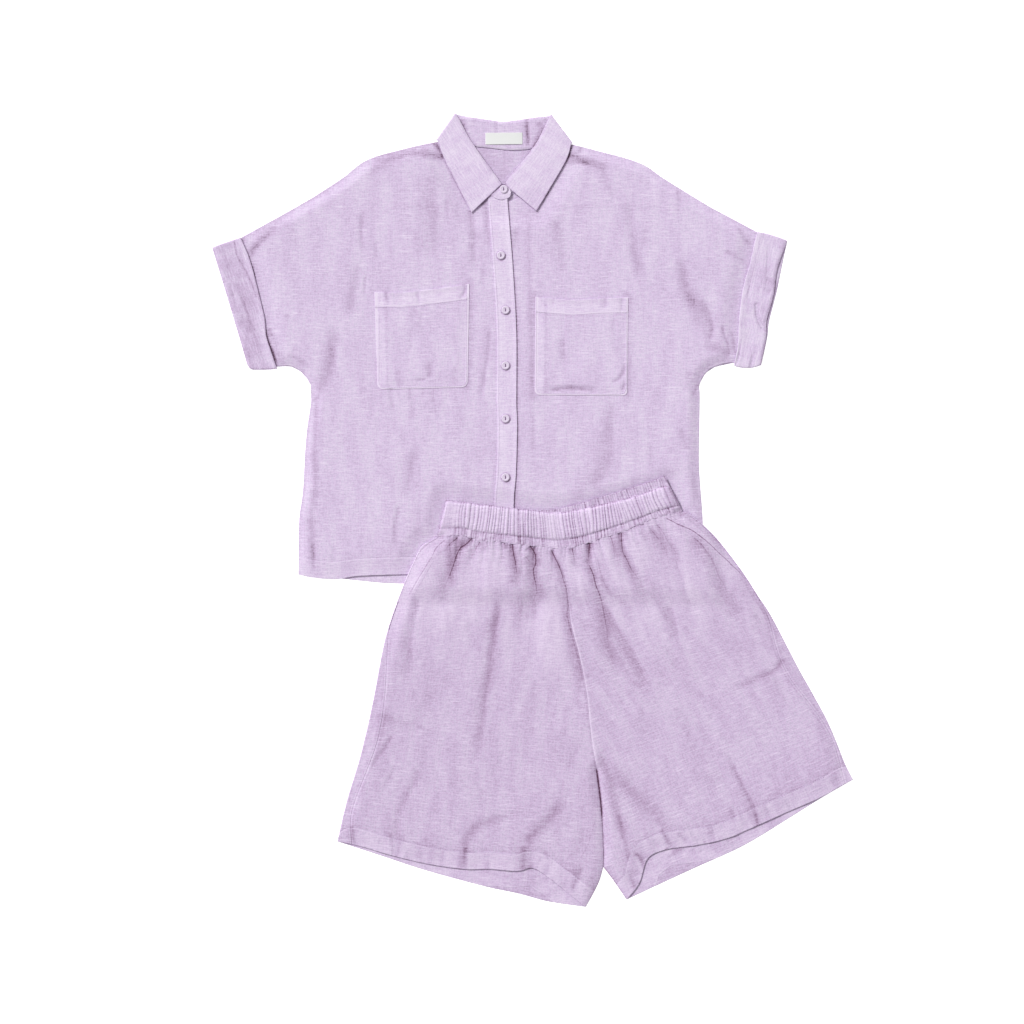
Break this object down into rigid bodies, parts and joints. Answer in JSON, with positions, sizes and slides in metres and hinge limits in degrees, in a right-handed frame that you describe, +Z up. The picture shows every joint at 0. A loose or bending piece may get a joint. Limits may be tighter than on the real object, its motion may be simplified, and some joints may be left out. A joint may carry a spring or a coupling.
{
  "type": "linen shirt and shorts set",
  "caption": "Short-sleeved buttoned shirt with chest pockets, laid flat and face up under matching elastic-waisted shorts.",
  "frame": {"origin": "centre of the bounding box at the surface that the set lies on", "axes": "+Y from the shorts' hems towards the shirt's collar, +X to the shirt wearer's left, +Z up from the surface"},
  "size_m": [0.8326, 1.032, 0.0103],
  "materials": {
    "linen_shirt": "plain-woven lilac linen with pale slubs, matt",
    "linen_shorts": "plain-woven lilac linen with pale slubs, matt",
    "woven_label": "smooth woven ribbon, satin",
    "button": "pearly resin, polished"
  },
  "bodies": {
    "root": {"shirt_back": "linen_shirt", "back_yoke": "linen_shirt", "front_right": "linen_shirt", "front_left": "linen_shirt", "placket_right": "linen_shirt", "pocket_right": "linen_shirt", "pocket_left": "linen_shirt", "cuff_right": "linen_shirt", "cuff_left": "linen_shirt", "collar_stand": "linen_shirt", "collar": "linen_shirt", "neck_label": "woven_label", "button_1": "button", "button_2": "button", "button_3": "button", "button_4": "button", "button_5": "button", "button_6": "button", "shorts_back_right": "linen_shorts", "shorts_back_left": "linen_shorts", "shorts_front_right": "linen_shorts", "shorts_front_left": "linen_shorts", "waistband_back": "linen_shorts", "waistband_front": "linen_shorts"}
  },
  "joints": []
}
